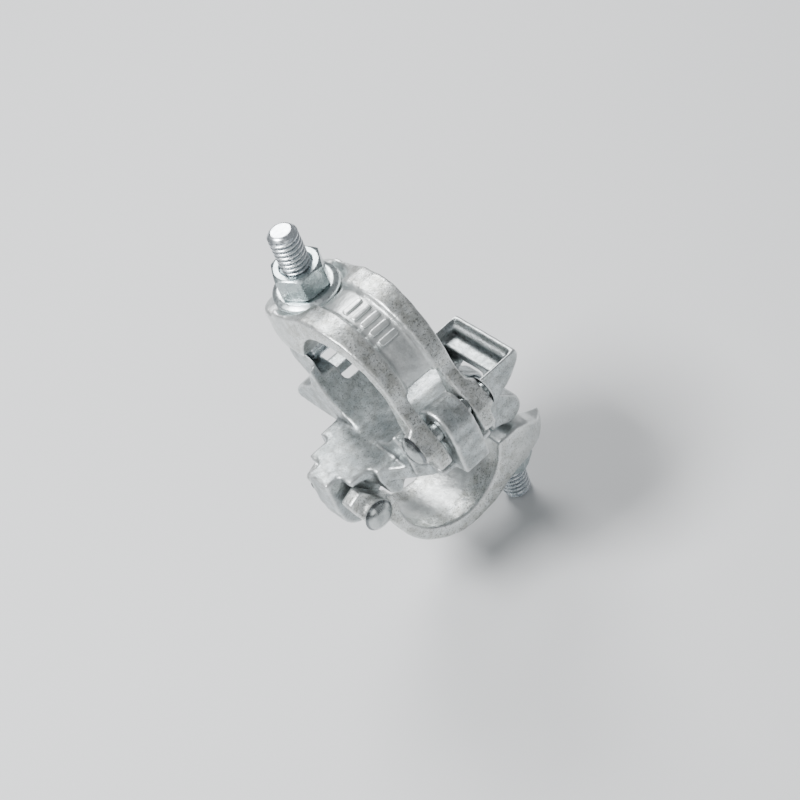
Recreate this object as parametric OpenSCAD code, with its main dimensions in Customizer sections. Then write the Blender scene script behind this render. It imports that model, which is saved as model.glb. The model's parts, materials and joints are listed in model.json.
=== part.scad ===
// Right-angle scaffold coupler, drop-forged, for two round tubes that cross at 90 degrees.
// Frame: origin on the lower tube's axis at the middle of its seat, +Y along the lower tube,
// +X along the upper tube, +Z from the lower tube to the upper one.
// Each half is drawn in its own half frame: the tube runs along X through the origin, the cap hinge
// is at -Y, the T-bolt at +Y, and +Z points away from the other tube.

/* [Tubes] */
// Outside diameter of the scaffold tube
tube_d = 48.3; // [48.0:0.1:48.6]
// Radial clearance between a tube and its seat
seat_gap = 0.05; // [0:0.01:0.2]
// Distance between the two tube axes
axis_gap = 54; // [53.4:0.1:56]

/* [Cap] */
// Width of the cap at its crown
cap_w = 35; // [34:0.5:36]
// Width over the cap's hinge lugs
lug_w = 29; // [28.5:0.5:30]
// Radius of the cap's outer curve
cap_r = 30.5; // [30:0.5:31]
// Distance from the tube axis to the hinge pin, across
hinge_y = 34.7; // [34.3:0.1:35.1]
// Distance of the hinge pin below the tube axis
hinge_drop = 11; // [10.6:0.1:11.4]
// Width of the slot between the two hinge lugs
lug_slot = 16; // [15.5:0.5:16.5]
// Width of the recessed web between the two rails
web_w = 13; // [8:0.5:14]
// Depth of the recessed web
web_depth = 1.8; // [0.5:0.1:2]

/* [T-bolt] */
// Diameter of the T-bolt over its thread
bolt_d = 12; // [11.5:0.1:12.5]
// Distance from the tube axis to the T-bolt's pivot, across
pivot_y = 34.5; // [34.2:0.1:34.8]
// Distance of the T-bolt's pivot below the tube axis
pivot_drop = 3; // [2.7:0.1:3.3]
// Lean of the tightened T-bolt towards the tube
lean = 2.5; // [0:0.5:4]
// Distance from the pivot to the face that the washer sits on
seat_h = 25.3; // [25:0.1:25.6]
// Distance from the pivot to the T-bolt's free end
bolt_len = 57; // [55:0.5:60]
// Radius of the T-bolt's cross bar
bar_r = 4.7; // [4.5:0.1:4.9]
// Length of the T-bolt's cross bar
bar_len = 26; // [25:0.5:26.5]

/* [Nut and washer] */
// Width across the nut's flats
nut_af = 19; // [18:0.5:20]
// Height of the nut
nut_h = 11; // [10:0.5:12]
// Outside diameter of the washer
washer_d = 27; // [26:0.5:27.5]
// Thickness of the washer
washer_t = 3; // [2.5:0.1:3]

/* [Hinge rivet] */
// Diameter of the rivet's shank
rivet_d = 8; // [7.5:0.1:8.4]
// Diameter of the rivet's round head
rivet_head_d = 13; // [12:0.5:14]
// Height of the rivet's round head
rivet_head_h = 3.2; // [2.5:0.1:3.6]

/* [Body] */
// Width of the body's saddles along their tubes
saddle_w = 36; // [34:0.5:36]
// Thickness of the hinge tongue
tongue_w = 12.5; // [12:0.1:13]
// Width of the gap between the T-bolt's two ears
ear_gap = 14; // [13.8:0.1:15]
// Width over the T-bolt's two ears
ear_w = 30; // [29.5:0.5:31]

/* [Hidden] */
$fn = 96;
eps = 0.01;
seat_r = tube_d/2 + seat_gap;
mid = axis_gap/2;
shelf = mid + 2.7;                        // lowest level of one half: it laps over the middle plane
hinge_z = -hinge_drop;
pivot_z = -pivot_drop;
cap_shift = [2, 1.5];                     // centre of the cap's outer curve
boss_r = 17.6;                            // round boss under the washer
boss_y = pivot_y + 0.8;                   // its centre
spot_r = washer_d/2 + 0.9;                // spot face that the washer sits on
fork_slot = bolt_d + 2;                   // slot that the T-bolt swings out through
spot_flare = 4;                           // width of the bevel from that face to the crown
prong_root = 5.4;                         // lowest level of the cap at the bolt side
prong_tip = 16;                           // lowest level of the prongs at their tips
prong_reach = 18.5;                       // reach of the prongs past the T-bolt's pivot
crown_w = cap_w - 2;                      // width over the crown's top edges
lug_out = 43;                             // outer face of the hinge lugs
lug_low = -21.5;                          // lowest level of the hinge lugs
slot_top = 5.5;                           // level where the slot between the lugs ends
tongue_r = 9.5;                           // round top of the tongue
tongue_out = 45;                          // outer face of the tongue
ear_r = 6.8;                              // round of the T-bolt's ears
wing_out = 46.5;                          // reach of the crescent wing on the shelf
pocket_half = 15;                         // half the width of the wing's pocket
pocket_top = 18.8;                        // depth line where that pocket ends
root_out = 38;                            // outer edge of the hinge side's foot
root_half = 13;                           // half the width of that foot
run_gap = 0.05;                           // running clearance round the rivet
bar_gap = 0.08;                           // running clearance round the cross bar
fin_z = [21.5, 28.5];                     // levels of the web between the two hinge sides
rivet_face = lug_w/2 + 3;                 // side face of the lugs at the rivet

// Places the children's half frame on the upper or the lower tube.
module upper() { translate([0, 0, axis_gap]) children(); }
module lower() { rotate(180, [1, 1, 0]) children(); }

// Extrudes an outline drawn in Y and Z to a width along X, centred.
module along_x(width) {
    rotate([90, 0, 90]) linear_extrude(width, center = true) children();
}

// Cylinder along X, centred.
module bar(r, len) { rotate([0, 90, 0]) cylinder(r = r, h = len, center = true); }

// Frame of the T-bolt: origin at its pivot, +Z along the bolt.
module bolt_frame() { translate([0, pivot_y, pivot_z]) rotate([lean, 0, 0]) children(); }

module hinge_frame() { translate([0, -hinge_y, hinge_z]) children(); }

// ---- Cap ----------------------------------------------------------------

// Underside of the fork's prongs, rising towards their tips
function prong_under(drop) = [
    [pivot_y, prong_root - drop], [pivot_y + 5, prong_root + 2.1 - drop],
    [pivot_y + 10, prong_root + 6.9 - drop], [pivot_y + prong_reach + drop, prong_tip]];

module cap_outline() {
    difference() {
        union() {
            translate(cap_shift) circle(r = cap_r);
            // Arm that carries the bolt boss
            polygon(concat([[8, 6], [27, prong_root]], prong_under(0),
                           [[pivot_y + prong_reach, seat_h - 1], [pivot_y - 3, seat_h - 1], [24, 26.2],
                            [14, 30.6], [8, 31.4]]));
            // Hinge lug, flared out past the pin
            polygon([[-20, 18], [-28.4, 4.8], [-29.6, 1.6], [-31.8, -1.8], [-35, -5.2], [-38.6, -8.6],
                     [-40.8, -12.4], [-42.2, -17], [-lug_out, lug_low + 1], [-lug_out + 1, lug_low],
                     [-lug_out + 6.5, lug_low - 2], [-lug_out + 8, lug_low - 1.4], [-30, -16],
                     [-20, -6]]);
        }
        circle(r = seat_r);
        // Open side, below the cap's two ends
        polygon(concat([[-34, -40], [-34, -21.6], [-30, -16], [-24.6, -10.6], [-seat_r + 0.4, -4],
                        [0, 0], [24, prong_root - eps]], prong_under(eps),
                       [[60, prong_tip], [60, -40]]));
    }
}

// The cap seen along Z: widest at the boss, narrowest at the hinge.
module cap_plan() {
    for (side = [-1, 1])
        polygon([[0, -60], [side*lug_w/2, -60], [side*lug_w/2, -28], [side*(cap_w/2 - 0.6), 0],
                 [side*boss_r, boss_y - 8], [side*boss_r, boss_y], [0, boss_y]]);
    translate([0, boss_y]) circle(r = boss_r);
}

// Side faces of the hinge lugs, flared out round the rivet's ends
module rivet_pads() {
    intersection() {
        along_x(60) cap_outline();
        hinge_frame() rotate([0, 90, 0]) rotate_extrude() for (side = [-1, 1])
            polygon([[0, 0], [7.6, 0], [7.6, side*(lug_w/2 - 0.5)], [6.4, side*rivet_face],
                     [0, side*rivet_face]]);
    }
}

// Everything above the seat of the washer, swept so that the T-bolt can swing out over it.
module over_boss() {
    bolt_frame() {
        translate([0, 0, seat_h]) cylinder(r = spot_r, h = 40);
        // Bevel on the crown's side
        intersection() {
            translate([0, 0, seat_h]) cylinder(r1 = spot_r, r2 = spot_r + spot_flare, h = 7);
            translate([-60, -60, 0]) cube([120, 60, 90]);
        }
        difference() {
            translate([-30, 2, seat_h - 12]) cube([60, 40, 40]);
            bar(seat_h - 0.3, 62);
        }
    }
}

module cap() {
    difference() {
        union() {
            intersection() {
                along_x(60) cap_outline();
                linear_extrude(120, center = true) cap_plan();
                // Draft of the crown's side faces
                rotate([90, 0, 0]) linear_extrude(130, center = true)
                    polygon([[-crown_w/2, 34], [crown_w/2, 34], [boss_r, 20], [boss_r, -40],
                             [-boss_r, -40], [-boss_r, 20]]);
            }
            rivet_pads();
        }
        over_boss();
        // Slot that the T-bolt swings out through
        bolt_frame() translate([-fork_slot/2, 0, 0]) cube([fork_slot, 40, 60]);
        bolt_frame() cylinder(r = fork_slot/2, h = 60);
        // Slot between the hinge lugs
        translate([-lug_slot/2, -80, -60]) cube([lug_slot, 80 - seat_r + 5, 60 + slot_top]);
        // Recessed web between the rails
        along_x(web_w) difference() {
            translate([-60, -20]) square([60 + pivot_y - spot_r + 2, 70]);
            translate(cap_shift) circle(r = cap_r - web_depth);
        }
        hinge_frame() bar(rivet_d/2 + run_gap, 80);
    }
}

// ---- Hinge rivet --------------------------------------------------------

// Round head with its flat side on the XY plane.
module dome(d, h) {
    ball = (d*d/4 + h*h)/(2*h);
    rotate_extrude() intersection() {
        translate([0, h - ball]) circle(r = ball);
        square([d, h]);
    }
}

module hinge_rivet() {
    face = rivet_face + 0.1;
    hinge_frame() {
        bar(rivet_d/2, 2*face + 0.2);
        translate([-face, 0, 0]) rotate([0, -90, 0]) dome(rivet_head_d, rivet_head_h);
        translate([face, 0, 0]) rotate([0, 90, 0]) dome(rivet_head_d - 0.6, rivet_head_h - 0.8);
    }
}

// ---- T-bolt, washer and nut ---------------------------------------------

module t_bolt() {
    chamfer = 1.6;
    bolt_frame() {
        bar(bar_r, bar_len);
        rotate_extrude() polygon([[0, 0], [bolt_d/2, 0], [bolt_d/2, bolt_len - chamfer],
                                  [bolt_d/2 - chamfer, bolt_len], [0, bolt_len]]);
    }
}

module washer() {
    bolt_frame() translate([0, 0, seat_h + 0.05]) difference() {
        cylinder(d = washer_d, h = washer_t);
        translate([0, 0, -1]) cylinder(d = bolt_d + 1, h = washer_t + 2);
    }
}

module nut() {
    corner = nut_af/sqrt(3);
    bevel = corner - nut_af/2 + 0.3;
    bolt_frame() translate([0, 0, seat_h + washer_t + 0.1]) difference() {
        intersection() {
            cylinder(r = corner, h = nut_h, $fn = 6);
            rotate_extrude() polygon([[0, 0], [corner - bevel, 0], [corner, bevel*0.6],
                [corner, nut_h - bevel*0.6], [corner - bevel, nut_h], [0, nut_h]]);
        }
        translate([0, 0, -1]) cylinder(d = bolt_d + 0.1, h = nut_h + 2);
    }
}

// ---- Body ---------------------------------------------------------------

// Saddle arm and crescent wing at the T-bolt's side.
module bolt_side_outline() {
    polygon([[0, 0], [seat_r - 1, 0], [27.2, -6], [29.6, -13], [32.5, -15.4], [38.5, -17.8], [42, -20.6],
             [wing_out - 1.4, -24], [wing_out, -mid], [wing_out - 0.6, -shelf], [0, -shelf]]);
}

// Hooked ears that hold the T-bolt's cross bar.
module ear_outline() {
    translate([pivot_y, pivot_z]) circle(r = ear_r);
    polygon([[20, -14], [seat_r - 2, 0], [pivot_y - 4.6, pivot_z + 4.9], [pivot_y, pivot_z],
             [pivot_y + 4, pivot_z - 5.4], [33.5, -13.4], [29, -16]]);
}

// Saddle arm at the hinge side.
module hinge_side_outline() {
    polygon([[0, -shelf], [0, 0], [-seat_r + 2, -12], [-seat_r - 2, -15], [-seat_r - 3, -19],
             [-seat_r - 4.2, -24], [-root_out + 2, -26], [-root_out, -27], [-root_out, -shelf]]);
}

module tongue_outline() {
    difference() {
        union() {
            translate([-hinge_y, hinge_z]) circle(r = tongue_r);
            polygon([[-hinge_y - 4, hinge_z + 8.6], [-tongue_out + 2.4, hinge_z + 3], [-tongue_out, hinge_z - 3],
                     [-tongue_out + 0.5, -shelf], [-20, -shelf], [-20, hinge_z]]);
        }
        circle(r = seat_r);
    }
}

// One saddle with its tongue and its ears.
module half_body() {
    difference() {
        union() {
            difference() {
                union() {
                    along_x(saddle_w) bolt_side_outline();
                    along_x(ear_w) ear_outline();
                }
                // Window between the ears, for the T-bolt
                translate([-ear_gap/2, seat_r - 4, -mid + 7]) cube([ear_gap, 60, 60]);
            }
            along_x(2*root_half) hinge_side_outline();
            along_x(saddle_w) intersection() {
                hinge_side_outline();
                translate([-seat_r - 4, -60]) square([60, 120]);
            }
            along_x(tongue_w) tongue_outline();
        }
        // Pocket that the cross bar turns in, open towards the tube
        translate([0, pivot_y, pivot_z]) bar(bar_r + bar_gap, bar_len + 1.4);
        translate([-bar_len/2 - 0.7, 10, pivot_z - bar_r - bar_gap])
            cube([bar_len + 1.4, pivot_y - 10, 2*(bar_r + bar_gap)]);
        hinge_frame() bar(rivet_d/2, 80);
        wing_pocket();
    }
}

// Recess in the wing's flat back, and the deeper pocket behind the T-bolt's cross bar
module wing_pocket() {
    depth = 1.6;
    rim = 1.4;
    translate([-saddle_w/2 + rim, 25.5, -shelf - 1])
        cube([saddle_w - 2*rim, wing_out - 25.5 - 2*rim, depth + 1]);
    translate([-pocket_half, 30, -shelf - 1]) cube([2*pocket_half, 10.5, shelf + 1 - 24.6]);
    translate([-pocket_half, 26.5, -shelf - 1]) cube([2*pocket_half, 7.5, shelf + 1 - pocket_top]);
}

// Slanted web that joins the feet of the two hinge sides
module hinge_web() {
    difference() {
        translate([0, 0, fin_z[0]]) linear_extrude(fin_z[1] - fin_z[0])
            polygon([[-31.5, -9], [-31.5, -11.5], [-12, -32.5], [-9, -32.5], [-9, -9]]);
        // Relief, so that the tubes touch the saddles only
        upper() bar(seat_r + 1, 200);
        lower() bar(seat_r + 1, 200);
    }
}

module body() {
    color([0.72, 0.74, 0.75]) difference() {
        union() {
            upper() half_body();
            lower() half_body();
            hinge_web();
        }
        upper() bar(seat_r, 200);
        lower() bar(seat_r, 200);
    }
}

module upper_cap() { color([0.80, 0.82, 0.83]) upper() cap(); }
module lower_cap() { color([0.80, 0.82, 0.83]) lower() cap(); }
module upper_hinge_rivet() { color([0.86, 0.88, 0.90]) upper() hinge_rivet(); }
module lower_hinge_rivet() { color([0.86, 0.88, 0.90]) lower() hinge_rivet(); }
module upper_t_bolt() { color([0.84, 0.87, 0.90]) upper() t_bolt(); }
module lower_t_bolt() { color([0.84, 0.87, 0.90]) lower() t_bolt(); }
module upper_washer() { color([0.66, 0.70, 0.72]) upper() washer(); }
module lower_washer() { color([0.66, 0.70, 0.72]) lower() washer(); }
module upper_nut() { color([0.70, 0.74, 0.76]) upper() nut(); }
module lower_nut() { color([0.70, 0.74, 0.76]) lower() nut(); }

body();
upper_cap();
upper_hinge_rivet();
upper_t_bolt();
upper_washer();
upper_nut();
lower_cap();
lower_hinge_rivet();
lower_t_bolt();
lower_washer();
lower_nut();
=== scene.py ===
import json
import math

import bmesh
import bpy
import numpy as np
from mathutils import Matrix, Vector

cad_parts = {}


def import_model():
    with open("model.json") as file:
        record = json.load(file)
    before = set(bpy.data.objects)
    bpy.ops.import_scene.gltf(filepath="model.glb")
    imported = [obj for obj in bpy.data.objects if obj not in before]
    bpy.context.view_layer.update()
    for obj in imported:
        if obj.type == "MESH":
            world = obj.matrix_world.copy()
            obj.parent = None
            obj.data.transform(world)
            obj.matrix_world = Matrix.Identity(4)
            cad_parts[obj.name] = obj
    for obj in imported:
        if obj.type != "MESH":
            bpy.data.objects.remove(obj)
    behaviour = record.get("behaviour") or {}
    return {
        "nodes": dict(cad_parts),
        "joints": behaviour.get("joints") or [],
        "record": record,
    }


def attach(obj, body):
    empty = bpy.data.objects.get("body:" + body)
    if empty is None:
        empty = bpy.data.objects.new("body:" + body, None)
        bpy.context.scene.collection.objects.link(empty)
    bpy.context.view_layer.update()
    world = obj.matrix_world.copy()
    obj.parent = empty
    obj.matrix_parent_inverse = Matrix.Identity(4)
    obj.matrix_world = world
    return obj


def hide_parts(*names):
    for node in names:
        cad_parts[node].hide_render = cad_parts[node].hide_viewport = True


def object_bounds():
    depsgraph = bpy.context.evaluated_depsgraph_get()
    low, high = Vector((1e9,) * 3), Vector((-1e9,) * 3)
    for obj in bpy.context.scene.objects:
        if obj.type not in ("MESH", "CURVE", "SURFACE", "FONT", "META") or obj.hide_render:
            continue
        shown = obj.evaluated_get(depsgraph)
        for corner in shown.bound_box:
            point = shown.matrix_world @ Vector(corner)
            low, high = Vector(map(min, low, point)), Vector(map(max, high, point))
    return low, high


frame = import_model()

CAD_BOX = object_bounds()
RECORD = frame["record"]
MM = 0.001

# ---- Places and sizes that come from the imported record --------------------

MOUNTS = {m["name"]: m for m in RECORD["mounts"]}
JOINTS = {j["name"]: j for j in frame["joints"]}
AXIS_GAP = MOUNTS["upper_tube_seat"]["pos_m"][2]

# A half frame has the tube along X, the hinge at -Y, the T-bolt at +Y and the other tube at -Z.
HALVES = {
    "upper": Matrix.Translation((0, 0, AXIS_GAP)),
    "lower": Matrix.Rotation(math.pi, 4, Vector((1, 1, 0))),
}
PIVOT = HALVES["upper"].inverted() @ Vector(JOINTS["upper_t_bolt_swing"]["pos_m"])
HINGE = HALVES["upper"].inverted() @ Vector(JOINTS["upper_cap_swing"]["pos_m"])
LEAN = math.asin(-JOINTS["upper_nut_turn"]["axis"][1])
BOLT = Matrix.Translation(PIVOT) @ Matrix.Rotation(LEAN, 4, "X")

# T-bolt. Heights run along it from the pivot.
BOLT_R = 6.0 * MM
BOLT_LEN = 57.0 * MM
PLAIN_LEN = 17.0 * MM               # plain shank below the thread
STEM_LEN = 15 * MM                  # foot of the shank that is one mesh with the bar
BAR_R = 4.7 * MM
BAR_LEN = 26.0 * MM
BAR_VOXEL = 0.45 * MM
BAR_ROUNDS = 8                      # smoothing rounds that blend the bar into the shank
PITCH = 2.1 * MM
THREAD_DEPTH = 1.1 * MM
ROOT_SHARE = 0.14                   # share of half a pitch that the thread's root takes
FLANK_SHARE = 0.66                  # share of half a pitch that its flank takes
RUN_OUT = 2.0 * MM                  # length in which the thread reaches its full depth
TIP_R = 4.3 * MM                    # radius of the tip's cone at the end of the bolt
TIP_SLOPE = 0.95
UNSHADED_TIP = 3 * MM                  # end of the thread whose roots get no painted shade

# Washer and nut
SEAT_H = 25.35 * MM                 # underside of the washer
WASHER_R = 13.5 * MM
WASHER_T = 3.0 * MM
NUT_AF = 19.0 * MM
NUT_H = 11.0 * MM
NUT_Z = SEAT_H + WASHER_T + 0.05 * MM

# Hinge rivet
RIVET_R = 4.0 * MM
RIVET_HEAD_R = 6.5 * MM
RIVET_FACE = 17.6 * MM              # from the middle of the cap to the foot of a head

# Cap
CROWN = Vector((0, 2.0 * MM, 1.5 * MM))
CROWN_R = 30.5 * MM
WEB_DEPTH = 1.8 * MM                # depth of the cap's web below the crown
WEB_RAMP = (6.0 * MM, 8.5 * MM)     # from the middle of the web, where its smooth skin ends
BOSS_RAMP = (15 * MM, 22 * MM)      # from the bolt, where the boss's smooth skin ends

# Skin of the forgings
FINE_VOXEL = 0.6 * MM
RADIUS_ROUNDS = 11                  # smoothing rounds that give the forging radii
MASK_ROUNDS = 14                    # further rounds, to the surface that the masks compare with
SKIN_INSET = 0.12 * MM              # the skin lies this far inside the solids
EDGE_BULGE = 0.35 * MM              # bulge that counts as a full edge or a full hollow

# Camera, at the photograph's viewing angle: metres, degrees, and millimetres of sensor and lens
CAMERA_AT = (-0.22721, -0.53166, 0.57886)
CAMERA_TURN = (43.772, 17.984, -41.079)
SENSOR = 36
LENS = 93.7


# ---- Mesh helpers -----------------------------------------------------------

def new_object(name, verts, faces, matrix=None):
    mesh = bpy.data.meshes.new(name)
    mesh.from_pydata([tuple(v) for v in verts], [], faces)
    if matrix is not None:
        mesh.transform(matrix)
    mesh.validate()
    mesh.update()
    obj = bpy.data.objects.new(name, mesh)
    bpy.context.scene.collection.objects.link(obj)
    return obj


def shade(obj, angle):
    """Smooth shading that keeps edges above an angle in degrees sharp."""
    obj.data.shade_smooth()
    obj.data.set_sharp_from_angle(angle=math.radians(angle))


def grid_solid(rings, bottom, top):
    """Verts and faces of a closed skin from rings of points, with a centre point at each end."""
    count = len(rings[0])
    verts = [p for ring in rings for p in ring] + [bottom, top]
    faces = []
    for i in range(len(rings) - 1):
        for j in range(count):
            k = (j + 1) % count
            faces.append((i * count + j, i * count + k, (i + 1) * count + k, (i + 1) * count + j))
    low, high = len(verts) - 2, len(verts) - 1
    last = (len(rings) - 1) * count
    for j in range(count):
        k = (j + 1) % count
        faces.append((k, j, low))
        faces.append((last + j, last + k, high))
    return verts, faces


def circle(r, z, count):
    return [(r * math.cos(a), r * math.sin(a), z)
            for a in (2 * math.pi * j / count for j in range(count))]


def lathe(name, profile, matrix, count=96):
    """Turned solid. profile runs from the axis to the axis, counter-clockwise, without its end points."""
    rings = [circle(r, z, count) for r, z in profile]
    verts, faces = grid_solid(rings, (0, 0, profile[0][1]), (0, 0, profile[-1][1]))
    return new_object(name, verts, faces, matrix)


def torus_skin(name, rings, matrix):
    """Closed skin whose last ring joins its first, for a piece with a hole through it."""
    count = len(rings[0])
    verts = [p for ring in rings for p in ring]
    faces = []
    for i in range(len(rings)):
        n = (i + 1) % len(rings)
        for j in range(count):
            k = (j + 1) % count
            faces.append((i * count + j, i * count + k, n * count + k, n * count + j))
    return new_object(name, verts, faces, matrix)


def rounded(corners, radius, steps=4):
    """Closed polygon of (r, z) corners with each corner replaced by a short arc."""
    out = []
    for i, here in enumerate(corners):
        here = Vector(here)
        before = (Vector(corners[i - 1]) - here)
        after = (Vector(corners[(i + 1) % len(corners)]) - here)
        cut = min(radius, before.length * 0.45, after.length * 0.45)
        start, end = here + before.normalized() * cut, here + after.normalized() * cut
        for s in range(steps + 1):
            t = s / steps
            out.append(tuple((1 - t) ** 2 * start + 2 * t * (1 - t) * here + t * t * end))
    return out


def apply_modifiers(obj):
    bpy.context.view_layer.update()
    graph = bpy.context.evaluated_depsgraph_get()
    mesh = bpy.data.meshes.new_from_object(obj.evaluated_get(graph))
    obj.modifiers.clear()
    old = obj.data
    obj.data = mesh
    bpy.data.meshes.remove(old)


def coords(mesh):
    co = np.empty(len(mesh.vertices) * 3)
    mesh.vertices.foreach_get("co", co)
    return co.reshape(-1, 3)


def normals(mesh):
    no = np.empty(len(mesh.vertices) * 3)
    mesh.vertices.foreach_get("normal", no)
    return no.reshape(-1, 3)


def edge_pairs(mesh):
    pairs = np.empty(len(mesh.edges) * 2, int)
    mesh.edges.foreach_get("vertices", pairs)
    return pairs.reshape(-1, 2)


def neighbour_mean(values, pairs):
    """Mean of each point's neighbours along the mesh edges."""
    count = len(values)
    a, b = pairs[:, 0], pairs[:, 1]
    degree = np.bincount(a, minlength=count) + np.bincount(b, minlength=count)
    columns = [np.bincount(a, values[b, k], count) + np.bincount(b, values[a, k], count)
               for k in range(values.shape[1])]
    return np.stack(columns, 1) / np.maximum(degree, 1)[:, None]


def relax(co, pairs, rounds):
    """Moves every point half the way to the mean of its neighbours, over and over."""
    for _ in range(rounds):
        co = co + 0.5 * (neighbour_mean(co, pairs) - co)
    return co


def set_attribute(mesh, name, values):
    layer = mesh.attributes.new(name, "FLOAT", "POINT")
    layer.data.foreach_set("value", np.clip(values, 0, 1).astype(np.float32))


def to_half(co, half):
    """Points of the whole part, in the frame of one half."""
    inverse = np.array(HALVES[half].inverted())
    return co @ inverse[:3, :3].T + inverse[:3, 3]


def smooth_step(value, low, high):
    """0 below low, 1 above high, with a soft ramp between."""
    t = np.clip((value - low) / (high - low), 0, 1)
    return t * t * (3 - 2 * t)


def ripple(co, size, seed):
    """Slow, seeded unevenness from a few crossed waves, between about -1 and 1."""
    rng = np.random.default_rng(seed)
    total = np.zeros(len(co))
    waves = 14
    for _ in range(waves):
        direction = rng.normal(size=3)
        direction /= np.linalg.norm(direction)
        length = size * rng.uniform(0.7, 1.6)
        total += np.sin(co @ direction * 2 * math.pi / length + rng.uniform(0, 2 * math.pi))
    return total / math.sqrt(waves)


# ---- Materials ----------------------------------------------------------------

class Nodes:
    """Small builder for node trees."""

    def __init__(self, name):
        self.mat = bpy.data.materials.new(name)
        self.mat.use_nodes = True
        self.tree = self.mat.node_tree
        self.shader = self.tree.nodes["Principled BSDF"]
        self.coord = self.tree.nodes.new("ShaderNodeTexCoord").outputs["Object"]

    def add(self, kind, links=(), **settings):
        node = self.tree.nodes.new(kind)
        for key, value in settings.items():
            setattr(node, key, value)
        for socket, value in links:
            if isinstance(value, bpy.types.NodeSocket):
                self.tree.links.new(value, node.inputs[socket])
            else:
                node.inputs[socket].default_value = value
        return node

    def noise(self, scale, detail=4.0, rough=0.55, distortion=0.0):
        return self.add("ShaderNodeTexNoise", [
            ("Vector", self.coord), ("Scale", scale), ("Detail", detail), ("Roughness", rough),
            ("Distortion", distortion)]).outputs["Fac"]

    def range(self, value, low, high, to_low=0.0, to_high=1.0):
        return self.add("ShaderNodeMapRange", [
            ("Value", value), ("From Min", low), ("From Max", high), ("To Min", to_low),
            ("To Max", to_high)]).outputs["Result"]

    def attribute(self, name):
        return self.add("ShaderNodeAttribute", attribute_name=name).outputs["Fac"]

    def math(self, operation, a, b):
        return self.add("ShaderNodeMath", [(0, a), (1, b)], operation=operation).outputs[0]

    def mix(self, factor, a, b):
        node = self.add("ShaderNodeMix", data_type="RGBA")
        for socket, value in ((0, factor), (6, a), (7, b)):
            if isinstance(value, bpy.types.NodeSocket):
                self.tree.links.new(value, node.inputs[socket])
            else:
                node.inputs[socket].default_value = value
        return node.outputs[2]

    def bump(self, height, distance, strength=1.0, normal=None):
        links = [("Height", height), ("Distance", distance), ("Strength", strength)]
        if normal is not None:
            links.append(("Normal", normal))
        return self.add("ShaderNodeBump", links).outputs["Normal"]

    def connect(self, **sockets):
        for key, value in sockets.items():
            name = key.replace("_", " ")
            if isinstance(value, bpy.types.NodeSocket):
                self.tree.links.new(value, self.shader.inputs[name])
            else:
                self.shader.inputs[name].default_value = value
        return self.mat


def colour(r, g, b):
    return (r, g, b, 1.0)


def forged_zinc(name, light, dark, stain):
    """Hot-dip zinc on a forging: cloudy grey, speckled where the skin is rough, bright on worn edges, with
    painted shade in its hollows.
    """
    n = Nodes(name)
    cloud = n.range(n.noise(140, 5, 0.6), 0.35, 0.65)
    base = n.mix(cloud, light, dark)
    speck = n.range(n.noise(1500, 3, 0.7), 0.53, 0.64)
    patch = n.range(n.noise(260, 4, 0.6, 0.4), 0.40, 0.62)
    skin = n.attribute("skin")
    rough_skin = n.math("MULTIPLY", skin, patch)
    base = n.mix(n.math("MULTIPLY", rough_skin, 0.7), base, stain)
    base = n.mix(n.math("MULTIPLY", n.math("MULTIPLY", speck, skin), 0.8), base,
                 colour(0.10, 0.105, 0.10))
    worn = n.range(n.attribute("edge"), 0.25, 0.8)
    base = n.mix(n.math("MULTIPLY", worn, 0.55), base, colour(0.86, 0.88, 0.88))
    # Painted shade: hollows and creases darkened towards near black
    hollow = n.range(n.attribute("hollow"), 0.2, 0.9)
    base = n.mix(n.math("MULTIPLY", hollow, 0.75), base, colour(0.07, 0.075, 0.08))
    grain = n.math("ADD", n.noise(900, 4, 0.65), n.math("MULTIPLY", n.noise(240, 3, 0.6), 1.5))
    roughness = n.range(n.noise(420, 3, 0.6), 0.3, 0.7, 0.28, 0.46)
    normal = n.bump(grain, 0.00022, 0.55)
    return n.connect(Base_Color=base, Metallic=0.9, Roughness=roughness, Normal=normal)


def plated_zinc(name, light, dark, low_rough, high_rough, bump=0.00004):
    """Electroplated zinc: bright and slightly blue, with faint clouding and fine handling marks, and painted
    shade in its hollows.
    """
    n = Nodes(name)
    cloud = n.range(n.noise(230, 5, 0.6), 0.32, 0.68)
    base = n.mix(cloud, light, dark)
    spots = n.range(n.noise(1100, 2, 0.6), 0.60, 0.72)
    base = n.mix(n.math("MULTIPLY", spots, 0.35), base, colour(0.30, 0.33, 0.34))
    # Painted shade: thread roots and the feet of rivet heads darkened towards near black
    hollow = n.range(n.attribute("hollow"), 0.2, 0.9)
    base = n.mix(n.math("MULTIPLY", hollow, 0.75), base, colour(0.10, 0.11, 0.12))
    roughness = n.range(n.noise(600, 3, 0.6), 0.3, 0.7, low_rough, high_rough)
    normal = n.bump(n.noise(800, 4, 0.6), bump, 0.6)
    return n.connect(Base_Color=base, Metallic=1.0, Roughness=roughness, Normal=normal)


# Painted shade: the body's forged zinc is the cap's zinc, painted darker all over
SHADED_BODY_SKIN = forged_zinc("forged body zinc in painted shade", colour(0.62, 0.665, 0.675), colour(0.40, 0.445, 0.46),
                        colour(0.20, 0.205, 0.19))
CAP_SKIN = forged_zinc("forged cap zinc", colour(0.80, 0.825, 0.82), colour(0.62, 0.655, 0.655),
                       colour(0.40, 0.405, 0.37))
BOLT_SKIN = plated_zinc("plated bolt zinc", colour(0.80, 0.84, 0.87), colour(0.66, 0.71, 0.75), 0.18, 0.34)
NUT_SKIN = plated_zinc("plated nut zinc", colour(0.50, 0.555, 0.565), colour(0.34, 0.40, 0.41), 0.20, 0.36)
WASHER_SKIN = plated_zinc("plated washer zinc", colour(0.64, 0.69, 0.70), colour(0.48, 0.54, 0.55),
                          0.22, 0.42)
RIVET_SKIN = plated_zinc("plated rivet zinc", colour(0.58, 0.61, 0.61), colour(0.32, 0.35, 0.35), 0.16, 0.32)


# ---- Forged pieces ------------------------------------------------------------

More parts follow.
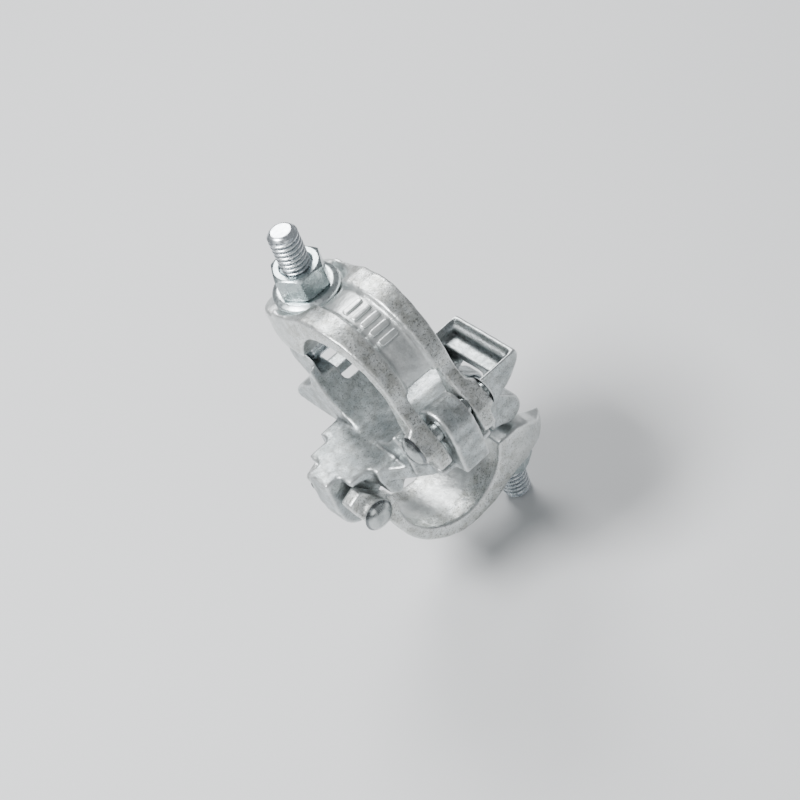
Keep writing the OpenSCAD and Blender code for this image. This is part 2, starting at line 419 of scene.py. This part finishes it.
def forged(name, node, material, voxel, half, seed):
    """The CAD node's shape with forging radii, a slightly uneven skin and edge and hollow masks."""
    source = frame["nodes"][node]
    obj = bpy.data.objects.new(name, source.data.copy())
    bpy.context.scene.collection.objects.link(obj)
    obj.data.materials.clear()
    remesh = obj.modifiers.new("skin", "REMESH")
    remesh.mode = "VOXEL"
    remesh.voxel_size = voxel
    apply_modifiers(obj)
    mesh = obj.data
    pairs = edge_pairs(mesh)
    fineness = (FINE_VOXEL / voxel) ** 2
    co = relax(coords(mesh), pairs, int(round(RADIUS_ROUNDS * fineness)))
    mesh.vertices.foreach_set("co", co.ravel())
    mesh.update()
    normal = normals(mesh)
    flat = relax(co, pairs, int(round(MASK_ROUNDS * fineness)))
    bulge = ((co - flat) * normal).sum(1)
    set_attribute(mesh, "edge", bulge / EDGE_BULGE)
    set_attribute(mesh, "hollow", -bulge / EDGE_BULGE)
    half_co = to_half(co, half) if half else co
    if half:
        off_web = smooth_step(np.abs(half_co[:, 0]), *WEB_RAMP)
        from_boss = np.hypot(half_co[:, 0], half_co[:, 1] - PIVOT[1])
        skin = off_web * smooth_step(from_boss, *BOSS_RAMP)
        skin = 0.15 + 0.85 * skin
    else:
        skin = np.full(len(co), 0.75)
    set_attribute(mesh, "skin", skin)
    uneven = ripple(co, 9 * MM, seed) * 0.05 * MM + ripple(co, 3.2 * MM, seed + 1) * 0.02 * MM
    co = co + normal * (uneven - SKIN_INSET)[:, None]
    mesh.vertices.foreach_set("co", co.ravel())
    mesh.update()
    mesh.shade_smooth()
    obj.data.materials.append(material)
    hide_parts(node)
    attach(obj, node)
    return obj


VOXEL = FINE_VOXEL
forged("body_forging", "body", SHADED_BODY_SKIN, VOXEL, None, 3)
for side, at in HALVES.items():
    forged(side + "_cap_forging", side + "_cap", CAP_SKIN, VOXEL, side, 11)


# ---- Turned and threaded pieces -------------------------------------------------

def thread_radius(z, angle, start, length):
    """Radius of the thread at a height and an angle, with run-out below and a cone at the tip."""
    phase = (z / PITCH - angle / (2 * math.pi)) % 1.0
    ridge = abs(2 * phase - 1)
    flank = min(1.0, max(0.0, (ridge - ROOT_SHARE) / FLANK_SHARE))
    flank = flank * flank * (3 - 2 * flank)
    fade = min(1.0, max(0.0, (z - start) / RUN_OUT))
    radius = BOLT_R - THREAD_DEPTH * fade * (1 - flank)
    tip = length - z
    cone = TIP_R + tip * TIP_SLOPE
    return min(radius, cone)


def bolt_shank(name, matrix):
    """Shank with a real helical thread and a turned end."""
    count = 72
    start = PLAIN_LEN
    step = PITCH / 14
    rings = [circle(BOLT_R, 0, count), circle(BOLT_R, start, count)]
    z = start + step
    # Painted shade in the thread's roots, deepest where the thread cuts deepest
    hollow = [[0.0] * count] * 2
    tip_flat = 0.35 * MM
    while z < BOLT_LEN - tip_flat:
        angles = [2 * math.pi * j / count for j in range(count)]
        radii = [thread_radius(z, a, start, BOLT_LEN) for a in angles]
        rings.append([(r * math.cos(a), r * math.sin(a), z) for r, a in zip(radii, angles)])
        hollow.append([(BOLT_R - r) / THREAD_DEPTH if z < BOLT_LEN - UNSHADED_TIP else 0.0 for r in radii])
        z += step
    for r, dz in ((4.45, 0.33), (4.3, 0.16), (4.0, 0.06), (3.5, 0.02), (2.0, 0.0)):
        rings.append(circle(r * MM, BOLT_LEN - dz * MM, count))
        hollow.append([0.0] * count)
    verts, faces = grid_solid(rings, (0, 0, 0), (0, 0, BOLT_LEN))
    obj = new_object(name, verts, faces, matrix)
    set_attribute(obj.data, "hollow", np.array([h for row in hollow for h in row] + [0.0, 0.0]))
    shade(obj, 50)
    return obj


def bolt_bar(name, matrix):
    """Hammer head of the T-bolt: a rounded cross bar that grows out of the shank."""
    along = Matrix.Rotation(math.pi / 2, 4, "Y")
    half_len = BAR_LEN / 2
    steps = 6
    profile = [(BAR_R * math.sin(a), -half_len + BAR_R * 0.6 * (1 - math.cos(a)))
               for a in (math.pi / 2 * s / steps for s in range(1, steps + 1))]
    profile += [(BAR_R, half_len * t) for t in (-0.5, 0.0, 0.5)]
    profile += [(r, -z) for r, z in reversed(profile[:steps])]
    bar = lathe(name, profile, matrix @ along, 64)
    neck = [(BAR_R * 0.8, -BAR_R * 0.4), (BOLT_R * 1.02, BAR_R * 0.4), (BOLT_R, STEM_LEN)]
    stem = lathe(name + "_stem", neck, matrix, 64)
    mesh = bpy.data.meshes.new(name)
    both = [bar.data, stem.data]
    verts, faces = [], []
    for part in both:
        shift = len(verts)
        verts += [tuple(v.co) for v in part.vertices]
        faces += [tuple(shift + i for i in p.vertices) for p in part.polygons]
    mesh.from_pydata(verts, [], faces)
    bpy.data.objects.remove(stem)
    bar.data = mesh
    remesh = bar.modifiers.new("skin", "REMESH")
    remesh.mode = "VOXEL"
    remesh.voxel_size = BAR_VOXEL
    apply_modifiers(bar)
    pairs = edge_pairs(bar.data)
    co = relax(coords(bar.data), pairs, BAR_ROUNDS)
    bar.data.vertices.foreach_set("co", co.ravel())
    bar.data.update()
    bar.data.shade_smooth()
    return bar


def hex_radius(angle, across):
    """Radius of a hexagon with slightly rounded corners at an angle."""
    power = 70
    total = 0.0
    for k in range(6):
        c = math.cos(angle - math.pi / 3 * (k + 0.5))
        if c > 0.2:
            total += (c / (across / 2)) ** power
    return total ** (-1 / power)


def nut_solid(name, matrix):
    """Hexagon nut with a cone on both faces and a countersunk bore."""
    count = 180
    bore = BOLT_R + 0.05 * MM
    face_r = NUT_AF / 2 * 0.95
    slope = math.tan(math.radians(30))
    angles = [2 * math.pi * j / count for j in range(count)]
    radii = [hex_radius(a, NUT_AF - 0.05 * MM) for a in angles]
    countersink = 0.9 * MM
    support = 0.25 * MM             # distance of the extra rings that keep the edges crisp
    lip = 0.03 * MM                 # height of the cone's start above the face

    def ring(pairs):
        return [(r * math.cos(a), r * math.sin(a), z) for (r, z), a in zip(pairs, angles)]

    def chamfer(r, t):
        """Point t of the way down the cone from the face's edge to the flat of the nut."""
        edge = face_r + (r - face_r) * t
        return edge, max(0.0, (edge - face_r) * slope)

    rings = [ring([(bore, NUT_H - countersink)] * count), ring([(bore, countersink)] * count),
             ring([(bore + countersink * 0.9, 0.05 * MM)] * count),
             ring([(bore + countersink, 0)] * count), ring([(face_r - support, 0)] * count)]
    for t in (0.0, 0.25, 0.6, 1.0):
        rings.append(ring([(chamfer(r, t)[0], lip + chamfer(r, t)[1]) for r in radii]))
    rings.append(ring([(r, support + chamfer(r, 1)[1]) for r in radii]))
    rings.append(ring([(r, NUT_H - support - chamfer(r, 1)[1]) for r in radii]))
    for t in (1.0, 0.6, 0.25, 0.0):
        rings.append(ring([(chamfer(r, t)[0], NUT_H - lip - chamfer(r, t)[1]) for r in radii]))
    rings += [ring([(face_r - support, NUT_H)] * count), ring([(bore + countersink, NUT_H)] * count),
              ring([(bore + countersink * 0.9, NUT_H - 0.05 * MM)] * count)]
    obj = torus_skin(name, rings, matrix @ Matrix.Translation((0, 0, NUT_Z)))
    shade(obj, 24)
    return obj


def washer_solid(name, matrix):
    """Thick washer with a bevelled top edge."""
    inner = BOLT_R + 0.5 * MM
    bevel = 2.2 * MM
    corner = 0.55 * MM
    section = rounded([(inner, 0.05 * MM), (WASHER_R - 0.1 * MM, 0), (WASHER_R, WASHER_T * 0.62),
                       (WASHER_R - bevel, WASHER_T), (inner, WASHER_T)], corner)
    obj = torus_skin(name, [circle(r, z, 120) for r, z in section],
                     matrix @ Matrix.Translation((0, 0, SEAT_H)))
    shade(obj, 40)
    return obj


def rivet_solid(name, matrix):
    """Pin with a round head on one side and a flatter, hammered one on the other, turned along X."""
    def dome(r, h, steps=9):
        ball = (r * r + h * h) / (2 * h)
        reach = math.asin(r / ball)
        return [(ball * math.sin(reach * s / steps), h - ball + ball * math.cos(reach * s / steps))
                for s in range(1, steps + 1)]

    tail = dome(RIVET_HEAD_R - 0.35 * MM, 2.3 * MM)
    head = dome(RIVET_HEAD_R - 0.05 * MM, 3.1 * MM)
    profile = [(r, -RIVET_FACE - z) for r, z in head]
    profile += [(RIVET_HEAD_R - 0.25 * MM, -RIVET_FACE), (RIVET_R, -RIVET_FACE)]
    profile += [(RIVET_R, RIVET_FACE), (RIVET_HEAD_R - 0.5 * MM, RIVET_FACE)]
    profile += [(r, RIVET_FACE + z) for r, z in reversed(tail)]
    along = Matrix.Rotation(math.pi / 2, 4, "Y")
    count = 72
    obj = lathe(name, profile, matrix @ Matrix.Translation(HINGE) @ along, count)
    # Painted shade line round the foot of each head
    foot = [1.0 if r > 0.9 * RIVET_HEAD_R else 0.0 for r, z in profile]
    set_attribute(obj.data, "hollow", np.append(np.repeat(foot, count), [0.0, 0.0]))
    shade(obj, 50)
    return obj


def pad_pattern(name, matrix):
    """Equal plain raised bars across the web of a cap, where a forging carries its marks."""
    verts, faces = [], []
    radius = CROWN_R - WEB_DEPTH
    rows = 5
    first_angle, row_angle = 92, 9.5
    width, length = 8.8, 2.8
    count = 24
    squareness = 0.35
    for row in range(rows):
        turn = math.radians(first_angle + row_angle * row)
        out = Vector((0, math.cos(turn), math.sin(turn)))
        side = Vector((0, -math.sin(turn), math.cos(turn)))
        top = []
        for level, grow in ((-0.3, 0.0), (0.42, 0.0), (0.66, -0.25), (0.72, -0.7)):
            half_w, half_l = (width / 2 + grow) * MM, (length / 2 + grow) * MM
            loop = []
            for s in range(count):
                a = 2 * math.pi * s / count
                x = abs(math.cos(a)) ** squareness * math.copysign(half_w, math.cos(a))
                y = abs(math.sin(a)) ** squareness * math.copysign(half_l, math.sin(a))
                loop.append(CROWN + out * (radius + level * MM - y * y / (2 * radius))
                            + side * y + Vector((x, 0, 0)))
            top.append(loop)
        centre = sum(top[-1], Vector()) / len(top[-1])
        base = sum(top[0], Vector()) / len(top[0])
        v, f = grid_solid(top, base, centre)
        faces += [tuple(i + len(verts) for i in face) for face in f]
        verts += v
    obj = new_object(name, verts, faces, matrix)
    flip_outward(obj.data)
    obj.data.shade_smooth()
    return obj


def flip_outward(mesh):
    """Turns every separate shell's faces outward."""
    bm = bmesh.new()
    bm.from_mesh(mesh)
    bmesh.ops.recalc_face_normals(bm, faces=bm.faces)
    bm.to_mesh(mesh)
    bm.free()
    mesh.update()


def finish_piece(obj, material, body, node=None):
    """Turns the faces outward, gives the piece its material and masks, and puts it on its body."""
    flip_outward(obj.data)
    mesh = obj.data
    mesh.materials.clear()
    mesh.materials.append(material)
    for name in ("hollow", "edge", "skin"):
        if name not in mesh.attributes:
            set_attribute(mesh, name, np.zeros(len(mesh.vertices)))
    if node:
        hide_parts(node)
    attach(obj, body)


for side, at in HALVES.items():
    bolt = at @ BOLT
    finish_piece(bolt_shank(side + "_t_bolt_thread", bolt), BOLT_SKIN,
                 side + "_t_bolt", side + "_t_bolt")
    finish_piece(bolt_bar(side + "_t_bolt_bar", bolt), BOLT_SKIN,
                 side + "_t_bolt", side + "_t_bolt")
    finish_piece(washer_solid(side + "_washer_disc", bolt), WASHER_SKIN,
                 side + "_washer", side + "_washer")
    finish_piece(nut_solid(side + "_nut_hex", bolt), NUT_SKIN,
                 side + "_nut", side + "_nut")
    finish_piece(rivet_solid(side + "_hinge_rivet_pin", at), RIVET_SKIN,
                 "body", side + "_hinge_rivet")
    finish_piece(pad_pattern(side + "_cap_pads", at), CAP_SKIN, side + "_cap")


# ---- Floor, light and camera -----------------------------------------------------

def floor():
    n = Nodes("studio floor")
    tone = n.range(n.noise(3, 2, 0.5), 0.3, 0.7)
    base = n.mix(tone, colour(0.70, 0.71, 0.72), colour(0.72, 0.73, 0.74))
    material = n.connect(Base_Color=base, Roughness=0.9)
    reach = 6.0
    z = CAD_BOX[0].z - 0.2 * MM
    obj = new_object("studio_floor", [(-reach, -reach, z), (reach, -reach, z), (reach, reach, z),
                                      (-reach, reach, z)], [(0, 1, 2, 3)])
    obj.data.materials.append(material)


def area_light(name, at, aim, size, power, tint=(1, 1, 1)):
    light = bpy.data.lights.new(name, "AREA")
    light.shape = "RECTANGLE"
    light.size, light.size_y = size
    light.energy = power
    light.color = tint
    obj = bpy.data.objects.new(name, light)
    bpy.context.scene.collection.objects.link(obj)
    obj.location = at
    obj.rotation_euler = (Vector(aim) - Vector(at)).to_track_quat("-Z", "Y").to_euler()


def world():
    scene_world = bpy.data.worlds.new("studio")
    bpy.context.scene.world = scene_world
    scene_world.use_nodes = True
    back = scene_world.node_tree.nodes["Background"]
    back.inputs["Color"].default_value = (0.90, 0.93, 0.96, 1)
    back.inputs["Strength"].default_value = 0.30


def camera():
    data = bpy.data.cameras.new("camera")
    data.sensor_width = SENSOR
    data.lens = LENS
    data.clip_start, data.clip_end = 0.02, 50
    obj = bpy.data.objects.new("camera", data)
    bpy.context.scene.collection.objects.link(obj)
    obj.location = CAMERA_AT
    obj.rotation_euler = [math.radians(a) for a in CAMERA_TURN]
    bpy.context.scene.camera = obj


CENTRE = (0, 0, AXIS_GAP / 2)
floor()
world()
area_light("key", (-0.55, 0.15, 0.95), CENTRE, (0.40, 0.30), 20)
area_light("rim", (0.34, 0.72, 0.78), CENTRE, (0.5, 0.4), 9.5)
area_light("fill", (-0.3, -0.9, 0.5), CENTRE, (0.5, 0.5), 1.2)
camera()
